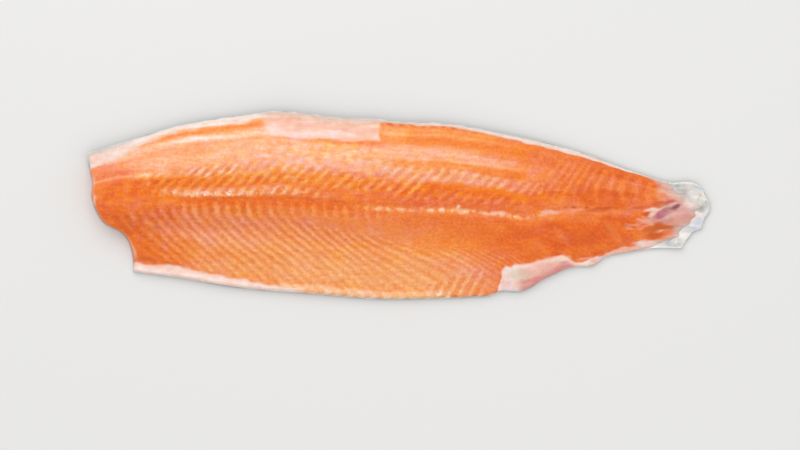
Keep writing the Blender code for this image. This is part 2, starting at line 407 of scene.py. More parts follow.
flesh = {
    "columns": 600,
    "rows": 152,
    "wallSteps": (16, 5, 8, 12),  # lines on the head, tail, belly and back edges
    "walls": (0.0040, 0.016, 0.0040, 0.0085),  # how far in each edge reaches full height
    "inset": (0.0012, 0.0, 0.0006, 0.0008),  # skin left showing outside the flesh
    "relief": 0.0006,  # kept free under the top for the relief
    "sheet": 0.0103,  # length of fish between two muscle sheets
    "depthSlant": 1.3,  # how far a sheet leans along the fish for each metre of depth
    # where the flesh ends on the skin, and where its colour gives way to film, from the belly to the back
    "end": ((0, 0.950), (0.075, 0.957), (0.12, 0.972), (0.24, 0.980), (0.38, 0.979), (0.46, 0.981),
            (0.59, 0.984), (0.7, 0.974), (0.8, 0.963), (0.9, 0.956), (1, 0.947)),
    "orangeEnd": ((0, 0.905), (0.1, 0.925), (0.15, 0.960), (0.27, 0.970), (0.34, 0.958), (0.42, 0.935),
                  (0.52, 0.920), (0.6, 0.925), (0.7, 0.935), (0.86, 0.932), (0.97, 0.923), (1, 0.907)),
    "fatness": 0.29,
    # changes in fatness: how much, from and to across the midline, then along, each with its softness
    "zones": (
        (0.38, (0.225, 0.345, 0.05), (0.045, 0.70, 0.16)),  # pale back of the loin: partly paler flesh, partly painted light from above
        (0.26, (0.155, 0.225, 0.04), (0.115, 0.70, 0.10)),
        (0.10, (0.095, 0.155, 0.03), (0.18, 0.40, 0.08)),
        (0.12, (0.030, 0.085, 0.025), (0.12, 0.34, 0.06)),  # under the white row
        (-0.10, (-0.030, 0.024, 0.016), (0.13, 0.40, 0.06)),  # groove
        (0.03, (-0.15, -0.02, 0.05), (0.10, 0.46, 0.08)),
        (0.10, (-0.30, -0.08, 0.14), (0.11, 0.60, 0.14)),  # over the ribs
        (0.15, (-0.60, -0.20, 0.16), (0.11, 0.64, 0.12)),
        (0.10, (-0.60, -0.33, 0.10), (0.30, 0.64, 0.10)),
        (-0.06, (-0.24, -0.03, 0.06), (0.52, 0.70, 0.10)),  # smooth flesh below the midline
        (-0.07, (0.01, 0.11, 0.03), (0.47, 0.72, 0.08)),  # red flesh above it
        (-0.06, (0.10, 0.16, 0.03), (0.53, 0.78, 0.06)),
        (-0.17, (0.235, 0.285, 0.03), (0.47, 0.70, 0.05)),  # orange line in the pale back
        (0.20, (0.15, 0.23, 0.04), (0.07, 0.13, 0.03)),
        (0.08, (0.185, 0.240, 0.03), (0.30, 0.38, 0.03)),
        (0.06, (0.130, 0.170, 0.02), (0.235, 0.30, 0.03)),
        (-0.06, (0.140, 0.190, 0.03), (0.39, 0.46, 0.03)),
        (-0.10, (0.165, 0.205, 0.03), (0.63, 0.70, 0.03)),
        (-0.10, (-0.14, -0.05, 0.04), (0.07, 0.12, 0.03)),
        (-0.09, (-0.13, -0.05, 0.04), (0.68, 0.87, 0.05)),
        (-0.05, (-0.20, -0.12, 0.04), (0.62, 0.78, 0.05)),
        (0.05, (-0.42, -0.30, 0.05), (0.22, 0.54, 0.06)),
        (-0.10, (-0.48, 0.00, 0.08), (-0.2, 0.045, 0.05)),  # darker flesh at the cut head end, partly painted shade
        (-0.08, (0.02, 0.155, 0.03), (0.02, 0.11, 0.04)),
        (0.22, (0.160, 0.180, 0.016), (0.006, 0.100, 0.01)),
        (-0.10, (0.27, 0.34, 0.04), (0.06, 0.20, 0.06)),
        (0.08, (-0.48, -0.36, 0.08), (0.10, 0.30, 0.06)),
        (-0.12, (-0.32, -0.14, 0.08), (0.76, 0.88, 0.05)),
        (0.36, (-0.60, -0.465, 0.02), (0.27, 0.56, 0.04)),  # cream along the belly's edge
        (0.06, (-0.20, 0.0, 0.05), (0.70, 0.82, 0.06)),
        (-0.09, (-0.50, -0.08, 0.12), (0.70, 0.93, 0.12)),  # lean flesh of the tail
        (-0.08, (0.03, 0.20, 0.05), (0.78, 0.92, 0.06)),
        (0.12, (0.20, 0.32, 0.06), (0.912, 0.96, 0.02)),
        (-0.10, (0.33, 0.46, 0.04), (0.80, 0.93, 0.06)),
        (0.13, (0.34, 0.45, 0.03), (0.480, 0.515, 0.02)),
        (0.06, (0.09, 0.13, 0.02), (0.40, 0.44, 0.03)),
        (-0.07, (0.22, 0.29, 0.03), (0.55, 0.70, 0.04)),
        (-0.06, (0.13, 0.20, 0.03), (0.79, 0.88, 0.04)),
        (-0.08, (-0.14, -0.02, 0.04), (0.87, 0.93, 0.03)),
        (-0.07, (-0.18, -0.08, 0.03), (0.71, 0.77, 0.03)),
        (-0.05, (0.20, 0.27, 0.03), (0.62, 0.70, 0.03)),
        (-0.05, (0.15, 0.19, 0.02), (0.36, 0.52, 0.03)),
    ),
    # lighter and darker lines along the back, behind the fin: change, share across, half height
    "backLines": ((0.13, 0.955, 0.014), (0.18, 0.925, 0.010), (-0.06, 0.893, 0.014), (0.14, 0.855, 0.012),
                  (-0.07, 0.805, 0.010), (0.06, 0.785, 0.006), (-0.05, 0.765, 0.006)),
    "pink": (
        (0.35, (-0.27, -0.08, 0.08), (0.05, 0.27, 0.10)),
        (0.20, (-0.16, -0.08, 0.06), (0.26, 0.46, 0.10)),
        (0.28, (0.035, 0.12, 0.03), (0.45, 0.72, 0.08)),
        (0.30, (0.28, 0.36, 0.04), (0.48, 0.72, 0.08)),
        (0.35, (0.14, 0.23, 0.04), (0.44, 0.78, 0.08)),
        (0.45, (0.17, 0.26, 0.04), (0.23, 0.46, 0.06)),
        (0.35, (0.16, 0.40, 0.06), (-0.1, 0.08, 0.05)),
        (0.40, (-0.38, -0.28, 0.04), (0.56, 0.66, 0.04)),
        (0.35, (-0.05, 0.05, 0.04), (0.86, 0.95, 0.04)),
        (0.25, (-0.60, -0.40, 0.06), (0.60, 0.68, 0.05)),
    ),
    "yellow": (
        (0.75, (0.085, 0.16, 0.03), (0.10, 0.44, 0.06)),
        (0.60, (0.0, 0.16, 0.04), (0.01, 0.12, 0.04)),
        (0.45, (-0.030, 0.022, 0.02), (0.11, 0.46, 0.06)),
        (0.25, (-0.090, -0.030, 0.02), (0.11, 0.46, 0.06)),
        (0.28, (-0.60, -0.17, 0.10), (0.17, 0.60, 0.08)),
        (0.35, (-0.45, -0.30, 0.08), (-0.1, 0.16, 0.08)),
        (0.45, (0.28, 0.38, 0.04), (0.355, 0.43, 0.03)),
        (0.30, (-0.24, -0.06, 0.06), (0.52, 0.74, 0.08)),
        (0.35, (0.09, 0.15, 0.03), (0.50, 0.76, 0.06)),
        (0.50, (0.23, 0.29, 0.03), (0.47, 0.72, 0.05)),
        (0.50, (0.085, 0.16, 0.03), (0.44, 0.80, 0.06)),
        (0.60, (0.36, 0.46, 0.03), (0.476, 0.70, 0.03)),
        (0.60, (-0.40, -0.06, 0.10), (0.72, 0.92, 0.08)),
    ),
    # blotches: change in fatness and in pink, size, seed, then from and to across and along
    "uneven": (
        (0.07, 0.35, 0.0065, 71, (0.66, 0.88, 0.05), (0.27, 0.475, 0.04)),
        (0.05, 0.30, 0.009, 75, (0.20, 0.76, 0.06), (-0.1, 0.13, 0.04)),
        (0.06, 0.30, 0.0080, 79, (0.52, 0.80, 0.06), (0.16, 0.62, 0.06)),
        (0.05, 0.30, 0.012, 83, (0.10, 0.90, 0.06), (0.68, 0.95, 0.05)),
    ),
    # rows of short strokes: sheets counted this often, ends and softness along, middle across the midline
    # at both ends, half height, brightness (pale fat, partly a painted highlight on its ridges) and how dark the
    # flesh between is (deeper colour, partly painted shade)
    "strokes": (
        (1.13, (0.160, 0.243, 0.02), (0.168, 0.188), 0.027, 0.43, 0.40),
        (1.13, (0.090, 0.160, 0.03), (0.140, 0.160), 0.034, 0.20, 0.20),
        (1.13, (0.243, 0.305, 0.02), (0.188, 0.198), 0.034, 0.22, 0.14),
        (1.0, (0.305, 0.432, 0.02), (0.148, 0.134), 0.050, 0.32, 0.24),
        (1.0, (0.105, 0.305, 0.04), (0.106, 0.122), 0.030, 0.12, 0.55),
        (1.0, (0.095, 0.375, 0.03), (0.044, 0.058), 0.026, 0.38, 0.20),
        (0.94, (0.462, 0.745, 0.04), (0.215, 0.180), 0.042, 0.28, 0.22),
        (0.90, (0.432, 0.535, 0.03), (0.125, 0.135), 0.030, 0.56, 0.22),
        (0.93, (0.480, 0.700, 0.05), (0.078, 0.085), 0.028, 0.26, 0.14),
        (1.0, (0.130, 0.460, 0.06), (-0.040, -0.036), 0.034, 0.17, 0.20),
        (0.8, (0.745, 0.930, 0.05), (0.240, 0.260), 0.130, 0.16, 0.22),
    ),
    "turned": (0.0750, 0.40, 0.50, 0.0098),  # where and how the lowest sheets lean back, ahead of the vent
    # how strongly the sheets show below the midline, and how far up they reach, down the length
    "ribTop": ((0, 0.50), (0.14, 0.50), (0.26, 0.47), (0.32, 0.42), (0.38, 0.37), (0.46, 0.35), (0.50, 0.30),
               (0.60, 0.28), (0.68, 0.24), (0.76, 0.12), (1, 0.1)),
    # edge fat, as the share across that it starts from
    "backFat": ((0, 0.872), (0.03, 0.880), (0.06, 0.903), (0.09, 0.938), (0.13, 0.953), (0.20, 0.959),
                (0.285, 0.962), (0.47, 0.975), (0.48, 0.985), (0.62, 0.980), (0.72, 0.964), (0.78, 0.958),
                (0.85, 0.968), (0.89, 0.982), (0.92, 0.984), (1, 0.98)),
    "finFat": ((0.285, 0.900), (0.30, 0.868), (0.34, 0.862), (0.36, 0.864), (0.40, 0.872), (0.44, 0.884),
               (0.474, 0.889)),
    "bellyFat": ((0, 0.055), (0.05, 0.072), (0.09, 0.082), (0.13, 0.066), (0.20, 0.055), (0.27, 0.036), (0.33, 0.0),
                 (1, 0.0)),
    "vent": ((0.655, -0.02), (0.660, 0.06), (0.665, 0.12), (0.672, 0.148), (0.700, 0.182), (0.738, 0.155),
             (0.776, 0.125), (0.792, 0.075), (0.803, 0.035), (0.812, 0.037), (0.824, 0.091), (0.838, 0.080),
             (0.849, 0.050), (0.862, -0.02)),
    # marks: colour, place along and across, length, height, turn, strength
    "marks": (
        # where the tail's muscles end, on thin flesh and film
        ("D99A90", 0.971, 0.50, 18, 14, 0, 0.75),
        ("CC8874", 0.945, 0.430, 26, 8, 0, 0.60),
        ("F0E0D8", 0.930, 0.085, 22, 6, 0, 0.75),
        ("D8AFA6", 0.958, 0.62, 14, 10, 20, 0.60),
        ("F0DCD0", 0.981, 0.74, 14, 12, 0, 0.60),
        ("C9A795", 0.958, 0.85, 7, 4, -10, 0.60),
        ("E07B3C", 0.936, 0.27, 30, 9, 16, 0.60),
        ("EFC6B4", 0.945, 0.262, 16, 2.2, 14, 0.80),
        ("D0502A", 0.936, 0.372, 12, 6, 0, 0.80),
        ("C0641F", 0.950, 0.350, 14, 6, 8, 0.90),
        ("CE5C10", 0.938, 0.205, 15, 8, 8, 0.85),
        ("E8A48E", 0.958, 0.430, 14, 4, 4, 0.60),
        ("EBA58F", 0.902, 0.395, 16, 2.4, 10, 0.40),
        ("E8B5A2", 0.912, 0.345, 16, 2.2, 14, 0.45),
        ("F1D2C2", 0.930, 0.600, 13, 3.0, 8, 0.70),
        ("F2D9C8", 0.916, 0.575, 15, 4, 6, 0.85),
        ("E9D3C4", 0.920, 0.530, 12, 4, 24, 0.75),
        ("D8C6B4", 0.922, 0.455, 13, 6, 10, 0.75),
        ("E6BBB0", 0.905, 0.440, 14, 3, -14, 0.60),
        ("CF7C84", 0.925, 0.470, 12, 6, 20, 0.60),
        ("B4587A", 0.932, 0.520, 12, 7, 25, 0.72),
        ("BE7A88", 0.942, 0.595, 20, 7, 22, 0.60),
        ("86465C", 0.950, 0.655, 12, 4, 30, 0.85),
        ("E9A9A6", 0.958, 0.560, 16, 6, 20, 0.60),
        ("E3B8B4", 0.966, 0.640, 10, 9, 0, 0.55),
        ("D9C0B6", 0.943, 0.505, 6, 4, 20, 0.70),
        ("C8483C", 0.939, 0.712, 12, 4.5, 12, 0.80),
        ("E07A66", 0.926, 0.690, 16, 3, 10, 0.45),
        ("D98C78", 0.930, 0.760, 14, 2.4, -8, 0.45),
        ("B5452F", 0.908, 0.512, 7, 3, 10, 0.65),
        ("C0603E", 0.927, 0.670, 14, 5, 5, 0.60),
        ("A05F60", 0.937, 0.600, 14, 4, 10, 0.50),
        ("BE6030", 0.932, 0.330, 20, 6, 5, 0.60),
        ("F4E2DA", 0.970, 0.690, 12, 12, 0, 0.65),
        # dark line above the midline, and paler flesh under it
        ("B8452A", 0.772, 0.530, 3, 2, 0, 0.40),
        ("A83F20", 0.787, 0.527, 7, 2.6, 0, 0.50),
        ("B84A26", 0.808, 0.530, 5, 2.4, 5, 0.60),
        ("C9552C", 0.845, 0.552, 34, 2.4, 3, 0.55),
        ("C9552C", 0.895, 0.580, 20, 2.6, 8, 0.60),
        ("F3C5AC", 0.748, 0.495, 18, 3.4, 0, 0.60),
        ("F0A98A", 0.808, 0.500, 16, 3, 0, 0.12),
        ("CE5A2C", 0.826, 0.526, 30, 4, 4, 0.60),
        ("E0641F", 0.825, 0.665, 32, 7, -4, 0.30),
        ("EC8A68", 0.875, 0.500, 24, 5, 4, 0.25),
        ("F2B093", 0.600, 0.165, 26, 3, 2, 0.30),
        # membrane at the vent
        ("DDD3BE", 0.692, 0.110, 18, 11, 0, 0.70),
        ("F2D6D8", 0.676, 0.048, 11, 9, 30, 0.75),
        ("E4E0EA", 0.678, 0.012, 15, 3, 0, 0.75),
        ("CDBE96", 0.705, 0.085, 12, 2.6, 40, 0.55),
        ("DB8B88", 0.725, 0.040, 30, 3.6, 14, 0.75),
        ("DA8788", 0.775, 0.030, 22, 3.2, 20, 0.70),
        ("F6C6BB", 0.730, 0.123, 22, 8, 12, 0.70),
        ("F8DEC8", 0.775, 0.108, 14, 4.5, 8, 0.80),
        ("CF9CA4", 0.781, 0.062, 9, 4.5, 20, 0.60),
        ("EAE5D6", 0.823, 0.022, 14, 4, 10, 0.80),
        ("F0B59C", 0.817, 0.072, 14, 3.5, 10, 0.60),
        ("DAC5CE", 0.853, 0.012, 10, 4, 20, 0.70),
        # bruises and cuts at the head end
        ("EF7048", 0.038, 0.600, 9, 6, 0, 0.45),
        ("B9502E", 0.044, 0.470, 10, 3.6, -25, 0.40),
        ("C2602C", 0.062, 0.490, 9, 4, -50, 0.35),
        ("CF7A5E", 0.036, 0.850, 6, 2.4, -50, 0.40),
        ("C86428", 0.072, 0.330, 12, 4, -60, 0.35),
        ("C4581F", 0.030, 0.105, 24, 5, -5, 0.50),
        ("C8602A", 0.070, 0.098, 16, 4, -8, 0.40),
        ("F3B083", 0.092, 0.690, 4, 9, 10, 0.40),
        ("E8CEC8", 0.008, 0.640, 3, 10, 0, 0.50),
        # fat and blood under the dorsal fin
        ("F9E3DC", 0.385, 0.900, 50, 4, 2, 0.60),
        ("EDB9A4", 0.345, 0.935, 26, 6, 0, 0.50),
        ("F6D9CC", 0.360, 0.955, 24, 4, 3, 0.50),
        ("D6C9B8", 0.392, 0.982, 22, 4, 0, 0.55),
        ("DCD2C4", 0.440, 0.980, 18, 5, 0, 0.45),
        ("EFBBA6", 0.445, 0.925, 24, 5, 0, 0.45),
        ("F4E3D8", 0.300, 0.900, 12, 12, 0, 0.55),
        ("E9C7BA", 0.030, 0.925, 16, 5, 6, 0.45),
        ("C4BDB4", 0.020, 0.985, 20, 3, 4, 0.50),
        # fat where the bones were
        ("F9D9BC", 0.590, 0.522, 6, 5, 30, 0.80),
        ("F6C9A4", 0.596, 0.500, 12, 3.5, 0, 0.60),
        ("F8D3BC", 0.650, 0.492, 7, 5, 0, 0.75),
        ("F8D6C0", 0.664, 0.490, 8, 5.5, 0, 0.75),
        ("F5C6AE", 0.632, 0.495, 10, 3, 0, 0.60),
        ("F3BFA6", 0.738, 0.500, 8, 5, 20, 0.60),
        ("F6D2C2", 0.748, 0.508, 5, 3, -30, 0.60),
        ("F29C70", 0.785, 0.495, 12, 5, 0, 0.30),
        # brown mottles under the fin
        ("D9994A", 0.368, 0.840, 5, 3, 20, 0.45),
        ("DDA052", 0.382, 0.822, 4, 3, -30, 0.45),
        ("D48E45", 0.396, 0.845, 5, 2.5, 10, 0.45),
        ("DDA052", 0.408, 0.825, 4, 3, 30, 0.40),
        ("D9994A", 0.378, 0.800, 5, 2.5, 0, 0.35),
        # soft shading in the tail's flesh
        ("F2904C", 0.865, 0.270, 26, 9, -58, 0.40),
        ("E06A20", 0.815, 0.280, 22, 14, -60, 0.30),
        ("D95F22", 0.888, 0.190, 20, 6, -62, 0.35),
        ("F09A62", 0.770, 0.300, 22, 7, -50, 0.30),
        ("EF8A50", 0.735, 0.250, 24, 6, -45, 0.30),
        ("F0935A", 0.800, 0.430, 34, 7, -6, 0.25),
    ),
}


def clustered(count, span, walls, steps, insets):
    # shares of a span, with lines spaced evenly up the quarter-round at each end
    near, far = (width * (1 - np.cos(np.linspace(0, math.pi / 2, n + 1))) + inset
                 for width, n, inset in zip(walls, steps, insets))
    inner = np.linspace(near[-1], span - far[-1], count + 1 - sum(steps))
    return np.concatenate([near[:-1], inner, (span - far[:-1])[::-1]]) / span


def shoulder(distance, over):
    return np.sqrt(1 - np.clip(1 - distance / over, 0, 1) ** 2)


def bellySlope(x, d):
    # how far the muscle sheets run towards the tail for each metre down from the midline
    opening = np.maximum(0.08, ease((d - 0.009) / 0.007) * (0.66 + 0.5 * ease(d / 0.050)))
    opening = opening - 0.10 * ease((d - 0.055) / 0.02)
    leaning = 0.5 * ease((x + 0.22) / 0.25) + 1.0 * ease((x + 0.05) / 0.06) * (1 - ease((x - 0.03) / 0.20))
    return opening * (1 + leaning * (1 - 0.7 * ease((d - 0.028) / 0.034)))


def backSlope(x, d):
    # the same for each metre up from the midline; near the tail they bow towards the head
    loin = 0.25 + 0.70 * ease(d / 0.014)
    tail = -0.45 + 1.1 * ease((d - 0.006) / 0.026)
    toTail = ease((x - 0.12) / 0.08)
    return loin * (1 - toTail) + tail * toTail


def followSheets(x, d, slope, steps=30):
    # where the sheet through each place meets the midline
    step = d / steps
    for i in range(steps):
        x = x - slope(x, d - (i + 0.5) * step) * step
    return x


def zoned(zones, across, along):
    total = 0
    for amount, acrossRange, alongRange in zones:
        total = total + amount * window(across, *acrossRange) * window(along, *alongRange)
    return total


def fleshFields(u, v):
    # what the relief and the finish follow
    mid = profile(side["midline"], u)
    place = plan(u, v)
    x, y = place[:, 0], place[:, 1]
    down = plan(u, mid)[:, 1] - y
    deep = np.abs(down)
    start = np.where(down > 0, followSheets(x, deep, bellySlope), followSheets(x, deep, backSlope))
    phase = (start + 0.8 * mm * ripple(x, y, 0.035, 3)) / flesh["sheet"]
    wander = 0.008 * ripple(x * 0.6, y, 0.045, 5) + 0.005 * ripple(x * 0.6, y, 0.014, 6)
    across, along, share = v - mid + 0.6 * wander, u + 0.5 * wander, v + 0.5 * wander
    f = {"x": x, "y": y, "mid": v - mid, "phase": phase, "wander": wander}

    f["fatness"] = np.minimum(flesh["fatness"] + zoned(flesh["zones"], across, along), 0.74)
    behindFin = window(along, 0.478, 0.76, 0.012)
    f["fatness"] += 0.06 * window(share, 0.86, 1.1, 0.03) * behindFin * (1 - ease((along - 0.62) / 0.1))
    for amount, middle, tall in flesh["backLines"]:
        f["fatness"] += amount * bump(share, middle, tall) * behindFin * (1 - ease((along - 0.60) / 0.16))
    backPale = window(share, 0.872, 1.1, 0.04) * window(along, 0.03, 0.476, 0.012)
    f["fatness"] += (0.71 - f["fatness"]) * backPale
    wedge = window(along, 0.085, 0.287, 0.008) * bump(share, 0.934, straight(((0.08, 0.008), (0.2, 0.021)), u))
    f["fatness"] -= 0.34 * wedge
    pale = straight(((0.13, 0.900), (0.20, 0.892), (0.26, 0.874), (0.30, 0.868)), u)
    f["fatness"] += 0.22 * bump(share, pale, 0.018) * window(along, 0.13, 0.31, 0.05)
    f["pink"] = zoned(flesh["pink"], across, along)
    f["yellow"] = zoned(flesh["yellow"], across, along) + 0.7 * wedge
    for lighter, pinker, size, seed, shares, lengths in flesh["uneven"]:
        here = window(share, *shares) * window(along, *lengths)
        f["fatness"] += lighter * here * ripple(x * 0.7, y, size, seed)
        f["pink"] += pinker * here * ripple(x * 0.7, y, size, seed + 1)
        f["yellow"] -= pinker * here * ripple(x * 0.7, y, size, seed + 1)
    f["pink"], f["yellow"] = np.clip(f["pink"], 0, 1), np.clip(f["yellow"], 0, 1)

    # sheets that show as pale lines
    reach = ease((profile(flesh["ribTop"], u) - share) / 0.06 + 0.5) * window(along, 0.04, 0.69, 0.10)
    strong = 1 + 0.25 * window(share, 0.20, 0.37, 0.06) * window(along, 0.27, 0.44, 0.06)
    strong = strong * (1 - 0.35 * window(share, -0.1, 0.13, 0.08))
    strong = strong * (1 - 0.30 * window(share, -0.1, 0.28, 0.06) * window(along, 0.30, 0.70, 0.06))
    start, fall, lean, pitch = flesh["turned"]
    turned = ease((down - start + fall * (x - 0.0256)) / 0.008 + 0.5) * window(along, 0.53, 0.632, 0.02)
    smears = 0.13 * window(across, -0.5, -0.08, 0.1) * window(along, 0.68, 0.93, 0.08)
    f["stripe"] = (0.62 * reach * strong + smears) * (1 - turned)

    # rows of strokes
    f["rowPhase"], f["row"], f["gap"] = phase * 1.0, 0 * u, 0 * u
    for often, ends, middles, tall, bright, dark in flesh["strokes"]:
        middle = straight(((ends[0], middles[0]), (ends[1], middles[1])), u)
        here = window(along, *ends) * ease((tall * 1.25 - np.abs(across - middle)) / (0.5 * tall))
        f["rowPhase"] = np.where(here > f["gap"], phase * often, f["rowPhase"])
        f["row"] += bright * here
        f["gap"] += dark * here
    f["rowPhase"] = np.where(turned > f["gap"], (x + lean * down) / pitch, f["rowPhase"])
    f["row"] += 0.27 * turned
    f["gap"] += 0.38 * turned
    rowMiddle = straight(((0.10, 0.045), (0.20, 0.041), (0.30, 0.050), (0.38, 0.058)), along)
    f["whiteRow"] = window(along, 0.10, 0.36, 0.04) * bump(across, rowMiddle, 0.018)
    f["whiteRow"] *= straight(((0.10, 0.8), (0.15, 2.6), (0.215, 2.5), (0.25, 0.9), (0.36, 0.6)), u)
    f["dots"] = bump(v - mid, 0.0, straight(((0.45, 0.011), (0.6, 0.015), (0.7, 0.015)), u))
    f["dots"] *= window(along, 0.415, 0.80, 0.03)
    f["dots"] *= straight(((0.41, 0.5), (0.47, 0.95), (0.56, 0.98), (0.6, 0.93), (0.68, 0.93), (0.72, 0.5), (0.8, 0.4)), u)

    # fat, membrane and film, each with its cover
    headEdge = ease((0.0085 - u + 0.3 * wander) / 0.006 + 0.5) * window(v, 0.10, 0.90, 0.1)
    fray = 0.010 * ripple(x * 0.22, y, 0.006, 9)
    fray = fray * straight(((0.45, 1), (0.55, 0.4)), u)
    soft = straight(((0, 0.020), (0.04, 0.030), (0.1, 0.045), (0.15, 0.020), (0.22, 0.014)), u)
    backFat = ease((share - straight(flesh["backFat"], u) + fray) / soft + 0.5)
    fin = ease((along - 0.290) / 0.030 + 0.5) * ease((0.474 - along) / 0.006 + 0.5)
    finSoft = straight(((0.33, 0.040), (0.43, 0.022)), u)
    fin = fin * ease((share - straight(flesh["finFat"], u) + fray) / finSoft + 0.5)
    finEdge = fin * ease((straight(flesh["finFat"], u) + 0.036 + fray - share) / 0.020 + 0.5)
    bellyFat = straight(flesh["bellyFat"], u) - v + 0.8 * wander + fray + 0.007 * ripple(x * 0.6, y, 0.006, 10)
    bellyFat = ease(bellyFat / 0.026 + 0.5) * (u < 0.34)
    torn = 0.9 * wander + 0.006 * ripple(x, y, 0.009, 7)
    vent = ease((straight(flesh["vent"], along) - v + torn) / 0.024 + 0.5) * window(u, 0.655, 0.865, 0.002)
    lowRim = 0.045 + 0.042 * window(u, 0.880, 0.955, 0.03)
    lowRim = ease((lowRim - v + torn) / 0.02 + 0.5) * window(u, 0.855, 1.1, 0.02)
    f["vent"] = vent
    film = u + 0.4 * wander + 0.004 * ripple(x * 0.4, y, 0.0045, 68) - straight(flesh["orangeEnd"], v)
    film = ease(film / 0.026 + 0.5)
    strands = window(along, 0.885, 0.965, 0.02) * window(v, 0.28, 0.58, 0.06)
    strands = strands * ease(ripple(x * 0.22, y + 0.3 * x, 0.0050, 8) * 1.6 - 0.2)
    f["soft"] = np.clip(backFat + fin + bellyFat + vent + film, 0, 1)
    ventLeft = vent * ease((0.695 - along) / 0.02 + 0.5)
    ventEdge = vent * ease((v - straight(flesh["vent"], along) + 0.030) / 0.02 + 0.5)
    f["headEdge"] = headEdge
    f["layers"] = [
        (0.94 * backFat, "EED8CB"),
        (0.75 * backFat * ease((share - 0.978) / 0.012 + 0.5), "D6CDC4"),
        (0.80 * backFat * window(u, 0.07, 0.29, 0.04) * ease((share - 0.956) / 0.010), "FAEDE3"),
        (0.70 * backFat * window(u, 0.52, 0.93, 0.05), "EFE2D8"),
        (0.88 * fin, "F1C4B0"),
        (0.60 * fin * ease(ripple(x * 0.4, y, 0.0060, 61)), "F0AD94"),
        (0.50 * fin * ease(ripple(x * 0.4, y, 0.0070, 62)), "FBE1C4"),
        (0.65 * finEdge * ease(ripple(x * 0.4, y, 0.016, 63) * 0.7 + 0.7), "F7DCD2"),
        (0.45 * fin * window(share, 0.920, 0.975, 0.02) * window(u, 0.31, 0.42, 0.05), "EFB59F"),
        (0.50 * finEdge * ease(ripple(x * 0.4, y, 0.0080, 64)), "F5DADF"),
        (0.60 * fin * ease((share - 0.975) / 0.02 + 0.5), "D8CCC0"),
        (0.92 * bellyFat, "F4D8CA"),
        (0.70 * bellyFat * bump(v, 0.030, 0.018), "F7E8E0"),
        (0.92 * vent, "EDBFAF"),
        (0.60 * vent * window(v, -0.1, 0.055, 0.05) * window(along, 0.69, 0.80, 0.03), "C98782"),
        (0.75 * ventLeft, "F1DFD3"),
        (0.55 * ventEdge, "F6E6DB"),
        (0.75 * lowRim, "EBC9BA"),
        (0.90 * film, "DBB9AC"),
        (0.55 * film * ease(ripple(x * 0.6, y, 0.0065, 65)), "DFA090"),
        (0.50 * film * ease(ripple(x * 0.6, y, 0.0050, 66)), "EFDCCD"),
        (0.40 * film * ease(ripple(x * 0.6, y, 0.0060, 67) - 0.2), "B39C8E"),
        (0.85 * ease((u - profile(flesh["end"], v) + 0.009 + 0.5 * wander) / 0.014 + 0.5), "CFC6BF"),
        (0.42 * strands, "F1C4B0"),
    ]
    f["layers"] += blots(flesh["marks"], x, y)
    return f


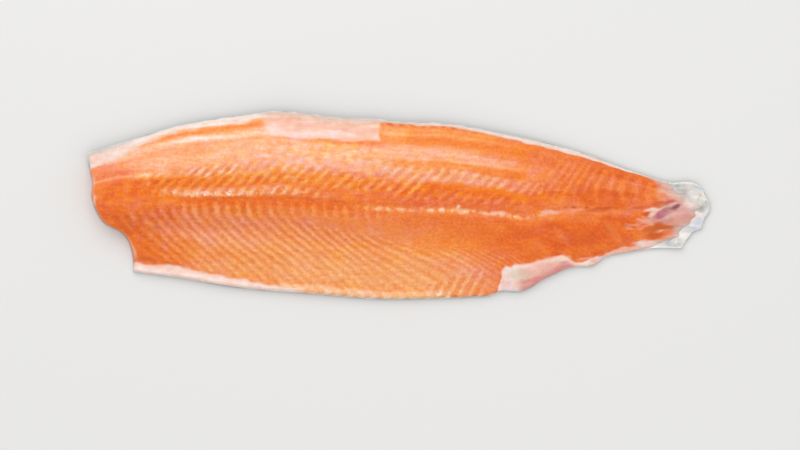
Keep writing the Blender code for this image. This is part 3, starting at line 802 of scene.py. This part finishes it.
def buildFlesh():
    walls, steps, insets = flesh["walls"], flesh["wallSteps"], flesh["inset"]
    columns = clustered(flesh["columns"], side["length"], walls[:2], steps[:2], insets[:2])
    rows = clustered(flesh["rows"], side["width"], walls[2:], steps[2:], insets[2:])
    piece = grid("salmonFlesh", columns, rows)
    mesh = piece.data
    flat, v = recall(mesh, "along"), recall(mesh, "across")
    end = profile(flesh["end"], v) + 0.004 * ripple(0 * v, v * side["width"], 0.020, 31)
    u = flat * (1 - (1 - end) * ease((flat - 0.6) / 0.4))
    f = fleshFields(u, v)
    x, y, phase = f["x"], f["y"], f["phase"]

    top = fullHeight(u, v) - flesh["relief"]
    top -= 1.0 * mm * bump(f["mid"], 0, 0.022) * window(u, 0.12, 0.9, 0.12)
    top -= 1.3 * mm * bump(f["mid"], -0.17, 0.075) * (1 - ease((u - 0.5) / 0.3))
    top += 0.35 * mm * ripple(x, y, 0.060, 11)
    top += 0.10 * mm * ripple(x * 0.3, y, 0.010, 12)
    sheet = np.abs((phase + 0.5) % 1 - 0.5) * 2  # 0 on a sheet, 1 midway
    stroke = np.abs((f["rowPhase"] + 0.5) % 1 - 0.5) * 2
    top += 0.22 * mm * f["stripe"] * (np.sqrt(sheet) - 0.7)
    top += 0.25 * mm * np.clip(f["row"], -1, 1) * (0.5 - stroke)
    top += 0.30 * mm * f["whiteRow"] * bump(sheet, 0, 0.5)
    top += 0.45 * mm * f["vent"] + 0.12 * mm * f["soft"]
    rise = (shoulder(flat * side["length"] - insets[0], walls[0])
            * shoulder((1 - flat) * side["length"] - insets[1], walls[1])
            * shoulder(v * side["width"] - insets[2], walls[2])
            * shoulder((1 - v) * side["width"] - insets[3], walls[3]))
    floor = underside(u, v) + 0.6 * side["skin"]
    above = np.maximum(top - 0.6 * side["skin"], 0.3 * mm) * np.maximum(rise, 0)
    setPoints(mesh, np.stack([x, y, floor + above], axis=1))
    depth = np.maximum(top, 0) * (1 - rise)
    phase = phase + flesh["depthSlant"] * depth / flesh["sheet"]

    # on the cut ends, fat lies against the skin and dark muscle on that
    cut = ease(depth / (2.5 * mm)) * (1 - f["soft"])
    dark = cut * ease((7 * mm * bump(f["mid"], 0.0, 0.10) - above) / (6 * mm) + 0.5)
    f["stripe"] = np.maximum(f["stripe"], cut)
    # the head end's pale cut rim (EFC0A6), and just inside it painted shade over the hollow (BC7850)
    headRimAndShade = f["headEdge"] * (1 - 0.75 * cut)
    f["layers"] = ([(0.65 * headRimAndShade, "EFC0A6"), (0.75 * headRimAndShade * window(v, 0.25, 0.60, 0.08), "BC7850")]
                   + f["layers"]
                   + [(0.60 * dark, "A65A3C"), (0.60 * cut * ease((1.6 * mm - above) / mm + 0.5), "E3BFA9")])
    keep(mesh, "flow", phase, f["rowPhase"], u)
    keep(mesh, "tone", f["fatness"], f["pink"], f["yellow"])
    keep(mesh, "lines", f["stripe"], f["row"], f["gap"])
    keep(mesh, "spots", f["dots"], f["whiteRow"], f["soft"])
    keepPaint(mesh, f["layers"])

    # the rim goes down into the skin and is closed there
    only(piece)
    bpy.ops.object.mode_set(mode="EDIT")
    bpy.ops.mesh.select_mode(type="EDGE")
    bpy.ops.mesh.select_all(action="DESELECT")
    bpy.ops.mesh.select_non_manifold()
    bpy.ops.mesh.extrude_region_move()
    bpy.ops.object.mode_set(mode="OBJECT")
    places = getPoints(mesh)
    hidden = np.array([point.select for point in mesh.vertices])
    inU = 0.5 + (recall(mesh, "along")[hidden] - 0.5) * 0.90
    inV = 0.47 + (recall(mesh, "across")[hidden] - 0.47) * 0.72
    places[hidden, :2] = plan(inU, inV)
    places[hidden, 2] = 0.6 * side["skin"]
    setPoints(mesh, places)
    bpy.ops.object.mode_set(mode="EDIT")
    bpy.ops.mesh.fill(use_beauty=False)
    bpy.ops.mesh.select_all(action="SELECT")
    bpy.ops.mesh.normals_make_consistent(inside=False)
    bpy.ops.object.mode_set(mode="OBJECT")
    mesh.shade_smooth()
    unroll(mesh, hidden.astype(float), np.zeros(len(mesh.vertices)))
    return piece


def fleshFinish():
    f = Finish("rawFlesh")
    phase, rowPhase, along = f.split(f.read("flow"))
    fatness, pink, yellow = f.split(f.read("tone"))
    stripe, row, gap = f.split(f.read("lines"))
    dots, whiteRow, soft = f.split(f.read("spots"))
    place = f.place()
    mottle = f.noise(place, 0.014, 3, 0.55)
    patch = f.noise(f.stretched(place, (0.6, 1, 1)), 0.007, 2, 0.5)
    lumps = f.noise(place, 0.0065, 1, 0.5)
    speck = f.noise(place, 0.0028, 2, 0.6)
    streak = f.noise(f.stretched(place, (0.2, 1, 1)), 0.0030, 3, 0.6)
    fibre = f.noise(f.stretched(place, (0.15, 1, 1)), 0.0010, 2, 0.6)

    # lines where the muscle sheets reach the surface
    sheet = (phase + (lumps - 0.5) * 0.40 + (speck - 0.5) * 0.25).sum("PINGPONG", 0.5) * 2
    line = f.span(sheet, 0.12, 0.88, 1, -1)
    stroke = (rowPhase + (lumps - 0.5) * 0.45 + (speck - 0.5) * 0.35).sum("PINGPONG", 0.5) * 2
    bright = f.span(stroke, 0.15, 0.75, 1, 0)
    uneven = f.span(patch, 0.32, 0.62, 0.30, 1.30)
    level = fatness + (mottle - 0.5) * 0.20 + (speck - 0.5) * 0.24 + (streak - 0.5) * (0.16 + 0.36 * fatness)
    level = level + line * stripe * f.span(mottle, 0.3, 0.7, 0.09, 0.15)
    blotchy = f.span(mottle, 0.35, 0.62, 0.35, 1.35)
    level = level + bright * row * uneven * 0.42 - (1 - bright) * gap * blotchy * 0.24
    level = level + whiteRow * (0.10 + (speck - 0.5) * 0.5)
    blob = (rowPhase + (lumps - 0.5) * 0.8).sum("PINGPONG", 0.5) * 2
    level = level + dots * (f.span(blob, 0.25, 0.85, 0.46, 0.14) * uneven + (speck - 0.5) * 0.3)

    colour = f.ramp(level, (
        (0.00, "D6581E"), (0.15, "E46A2A"), (0.30, "EE7F42"), (0.45, "F3935A"), (0.60, "F6A873"),
        (0.75, "F9BE94"), (0.88, "F9D3B8"), (1.00, "F5E6DC")))
    pinker = f.ramp(level, (
        (0.00, "D45634"), (0.15, "E46A48"), (0.30, "EC805F"), (0.45, "F0947A"), (0.60, "F4AA92"),
        (0.75, "F5BFAC"), (0.88, "F5D1C4"), (1.00, "F3E4DE")))
    yellower = f.ramp(level, (
        (0.00, "D85C14"), (0.15, "EC6E18"), (0.30, "F48528"), (0.45, "F69846"), (0.60, "F9AE60"),
        (0.75, "FAC384"), (0.88, "FAD8AE"), (1.00, "F5E8D6")))
    hue = f.noise(f.stretched(place, (0.5, 1, 1)), 0.010, 2, 0.5)
    colour = f.mix(pink + bright * gap * 0.3 + f.span(hue, 0.52, 0.72) * 0.5, colour, pinker)
    colour = f.mix(yellow + f.span(hue, 0.46, 0.30) * 0.5, colour, yellower)
    # painted shade between the pale sheet lines, and in the gaps beside the strokes
    shadow = (1 - line) * stripe * 0.045 + (1 - bright) * gap * 0.15
    colour = f.scaled(colour, 0.925 + 0.15 * fibre + (speck - 0.5) * 0.24 - shadow)

    # fat and marks cover it, thinner in places
    cover = f.span(speck + patch * 0.5, 0.50, 0.80, 0.78, 1.0)
    shown = 1 - f.read("paint", "Alpha") * cover
    tint = f.mix(f.span(lumps * 0.6 + speck * 0.4, 0.40, 0.62), (1.03, 1.04, 1.05, 1), (0.99, 0.90, 0.87, 1))
    painted = f.mix(1.0, f.read("paint", "Color"), tint, "MULTIPLY")
    painted = f.scaled(painted, cover * (0.86 + 0.28 * streak))
    colour = f.together(f.scaled(colour, shown), painted)

    relief = line * stripe * -0.25 + bright * row * 0.4 + fibre * 0.30 + speck * 0.30 + streak * 0.35
    normal = f.node("ShaderNodeBump", {}, {"Strength": 0.40, "Distance": 0.0005, "Height": relief})
    f.dress({"Base Color": colour, "Roughness": 0.40 + 0.14 * mottle - 0.05 * soft, "Normal": normal,
             "Coat Weight": 0.05 + 0.20 * patch, "Coat Roughness": 0.16, "IOR": 1.34,
             "Subsurface Weight": 0.10, "Subsurface Radius": (1.0, 0.35, 0.15), "Subsurface Scale": 0.002})
    return f.material


skin = {
    "columns": 300,
    "rows": 92,
    "ragged": 0.0016,  # how deep the torn edge is, at the tail
    "scale": (0.0062, 0.0044),
    "spots": 0.019,
    # marks on the film at the tail; the grey ones (8A8478, 9A948C, A8A49C) are painted shade in its folds
    "marks": (
        ("D9A99E", 0.982, 0.48, 14, 12, 0, 0.70),
        ("F2E6E0", 0.966, 0.800, 22, 16, 0, 0.60),
        ("EEE6DA", 0.984, 0.75, 14, 14, 0, 0.60),
        ("8A8478", 0.987, 0.640, 9, 8, 40, 0.65),
        ("9A948C", 0.965, 0.860, 8, 5, -20, 0.55),
        ("A8A49C", 0.984, 0.780, 10, 3, 60, 0.45),
        ("B4B8B8", 0.972, 0.180, 9, 3, 30, 0.45),
        ("F1EBE6", 0.984, 0.440, 12, 12, 60, 0.60),
        ("C3D0E6", 0.991, 0.440, 13, 5, 62, 0.85),
        ("D3DCE6", 0.983, 0.330, 7, 9, 50, 0.60),
        ("B9C9D2", 0.990, 0.925, 9, 6, -40, 0.50),
        ("D9C8C2", 0.980, 0.300, 8, 8, 0, 0.50),
        ("EDEBE4", 0.980, 0.105, 14, 6, 30, 0.60),
    ),
}


def buildSkin():
    columns = np.linspace(0, 1, skin["columns"] + 1)
    rows = np.linspace(0, 1, skin["rows"] + 1)
    piece = grid("salmonSkin", columns, rows)
    mesh = piece.data
    flat = getPoints(mesh)
    flat[:, 2] = 0
    setPoints(mesh, flat)
    only(piece)
    wall = piece.modifiers.new("thickness", "SOLIDIFY")
    wall.thickness = side["skin"]
    wall.offset = 1.0
    bpy.ops.object.modifier_apply(modifier=wall.name)
    upper = getPoints(mesh)[:, 2] > side["skin"] / 2
    u, v = recall(mesh, "along"), recall(mesh, "across")
    place = plan(u, v)
    x, y = place[:, 0], place[:, 1]
    atTail = ease((u - 0.92) / 0.08)
    ragged = skin["ragged"] * np.clip(1 + ripple(x * 0.2, y, 0.009, 21), 0.1, 2) / 2
    x = x - ragged * atTail
    z = underside(u, v) + upper * side["skin"] * (1 - 0.45 * ease((u - 0.95) / 0.05))
    setPoints(mesh, np.stack([x, y, z], axis=1))
    keep(mesh, "flow", u, v, upper.astype(float))
    # a painted highlight along the skin's torn edge at the tail
    tailRimHighlight = np.minimum((1 - u) * side["length"], np.minimum(v, 1 - v) * 0.07)
    tailRimHighlight = ease((2.2 * mm - tailRimHighlight) / (1.2 * mm)) * ease((u - 0.92) / 0.03)
    headRim = ease((2.6 * mm - u * side["length"]) / (1.2 * mm)) * window(v, 0.06, 0.86, 0.05)
    marks = blots(skin["marks"], x, y) + [(0.75 * tailRimHighlight, "F6F5F2"), (0.75 * headRim, "BE8A6C")]
    keepPaint(mesh, [(field * upper, code) for field, code in marks])
    mesh.shade_smooth()
    unroll(mesh, np.zeros(len(mesh.vertices)), upper.astype(float))
    return piece


def skinFinish():
    f = Finish("silverSkin")
    along, across, upper = f.split(f.read("flow"))
    place = f.place()
    mottle = f.noise(place, 0.014, 2, 0.5)
    speck = f.noise(place, 0.0025, 2, 0.6)
    x, y, z = f.split(place)

    # scales in rows set half a step apart, silver below and dark above, with spots over the middle line
    stepX = (x / skin["scale"][0] + mottle * 0.9).sum("PINGPONG", 0.5) * 2
    stepY = (y / skin["scale"][1] + mottle * 0.9 + speck * 0.2).sum("PINGPONG", 0.5) * 2
    other = (1 - stepX) ** 2 + (1 - stepY) ** 2
    scales = (stepX ** 2 + stepY ** 2).sum("MINIMUM", other)
    level = across + (mottle - 0.5) * 0.16
    colour = f.ramp(level, (
        (0.10, "E2E3DF"), (0.40, "CFD3D2"), (0.56, "A9B2B5"), (0.70, "6F7D84"), (0.86, "46535B"), (1.00, "38444B")))
    spots = f.node("ShaderNodeTexVoronoi", {"feature": "F1"}, {"Vector": place, "Scale": 1 / skin["spots"]})
    spots = f.span(spots + (speck - 0.5) * 0.15, 0.20, 0.14) * f.span(across, 0.55, 0.62)
    line = f.span((across - 0.515 + (mottle - 0.5) * 0.02).sum("ABSOLUTE"), 0.006, 0.002)
    colour = f.mix(0.22 * line, colour, shade("6A7276"))
    colour = f.mix(spots * 0.75, colour, shade("22282C"))
    colour = f.scaled(colour, 1.06 - 0.30 * f.span(scales, 0.35, 0.95) + (speck - 0.5) * 0.12)
    inside = f.ramp(mottle * 0.8 + speck * 0.2, (
        (0.30, "A0A5A5"), (0.42, "C4C4BE"), (0.52, "DAD4CC"), (0.64, "EEE9E2")))
    cover = f.span(speck + mottle * 0.5, 0.50, 0.80, 0.6, 1.0)
    shown = 1 - f.read("paint", "Alpha") * cover
    inside = f.together(f.scaled(inside, shown), f.scaled(f.read("paint", "Color"), cover))
    colour = f.mix(f.span(upper, 0.3, 0.7), colour, inside)
    normal = f.node("ShaderNodeBump", {}, {"Strength": 0.4, "Distance": 0.0006, "Height": speck * 0.6 - scales * (1 - upper)})
    f.dress({"Base Color": colour, "Roughness": 0.30 + 0.15 * mottle, "Normal": normal, "Coat Weight": 0.35,
             "Coat Roughness": 0.15})
    return f.material


stage = {
    "floor": 12.0,
    "camera": (0.0005, -0.0188),
    "lens": 100.0,
    "sensor": 36.0,
    "viewWidth": 0.7712,  # across the frame, near the board
    "world": 0.75,
    "lamps": (("keyLight", (-0.4, 1.3, 2.0), 2.2, 25.0), ("fillLight", (0.7, -1.1, 1.3), 1.5, 3.0)),
}


def buildStage():
    selectNothing()
    bpy.ops.mesh.primitive_plane_add(size=stage["floor"], location=(0, 0, -0.0004))
    floor = bpy.context.object
    floor.name = "studioFloor"
    f = Finish("paleFloor")
    f.dress({"Base Color": (0.78, 0.77, 0.75, 1), "Roughness": 0.8})
    floor.data.materials.append(f.material)

    world = bpy.data.worlds.new("studio")
    world.use_nodes = True
    world.node_tree.nodes["Background"].inputs["Color"].default_value = (0.97, 0.98, 1.0, 1)
    world.node_tree.nodes["Background"].inputs["Strength"].default_value = stage["world"]
    bpy.context.scene.world = world
    for name, place, size, power in stage["lamps"]:
        lamp = bpy.data.lights.new(name, "AREA")
        lamp.size = size
        lamp.energy = power
        holder = bpy.data.objects.new(name, lamp)
        holder.location = place
        holder.rotation_euler = (-Vector(place)).to_track_quat("-Z", "Y").to_euler()
        bpy.context.scene.collection.objects.link(holder)

    lens = bpy.data.cameras.new("studioCamera")
    lens.lens = stage["lens"]
    lens.sensor_width = stage["sensor"]
    camera = bpy.data.objects.new("studioCamera", lens)
    distance = stage["viewWidth"] * stage["lens"] / stage["sensor"]
    camera.location = (*stage["camera"], distance)
    bpy.context.scene.collection.objects.link(camera)
    bpy.context.scene.camera = camera
    bpy.context.scene.view_settings.view_transform = "Standard"


fleshPiece = buildFlesh()
fleshPiece.data.materials.append(fleshFinish())
print("flesh:", len(fleshPiece.data.polygons), "faces")
skinPiece = buildSkin()
skinPiece.data.materials.append(skinFinish())
print("skin:", len(skinPiece.data.polygons), "faces")
for piece, slotName in ((fleshPiece, "flesh"), (skinPiece, "skin")):
    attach(piece, "root")
    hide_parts("fillet")
buildStage()
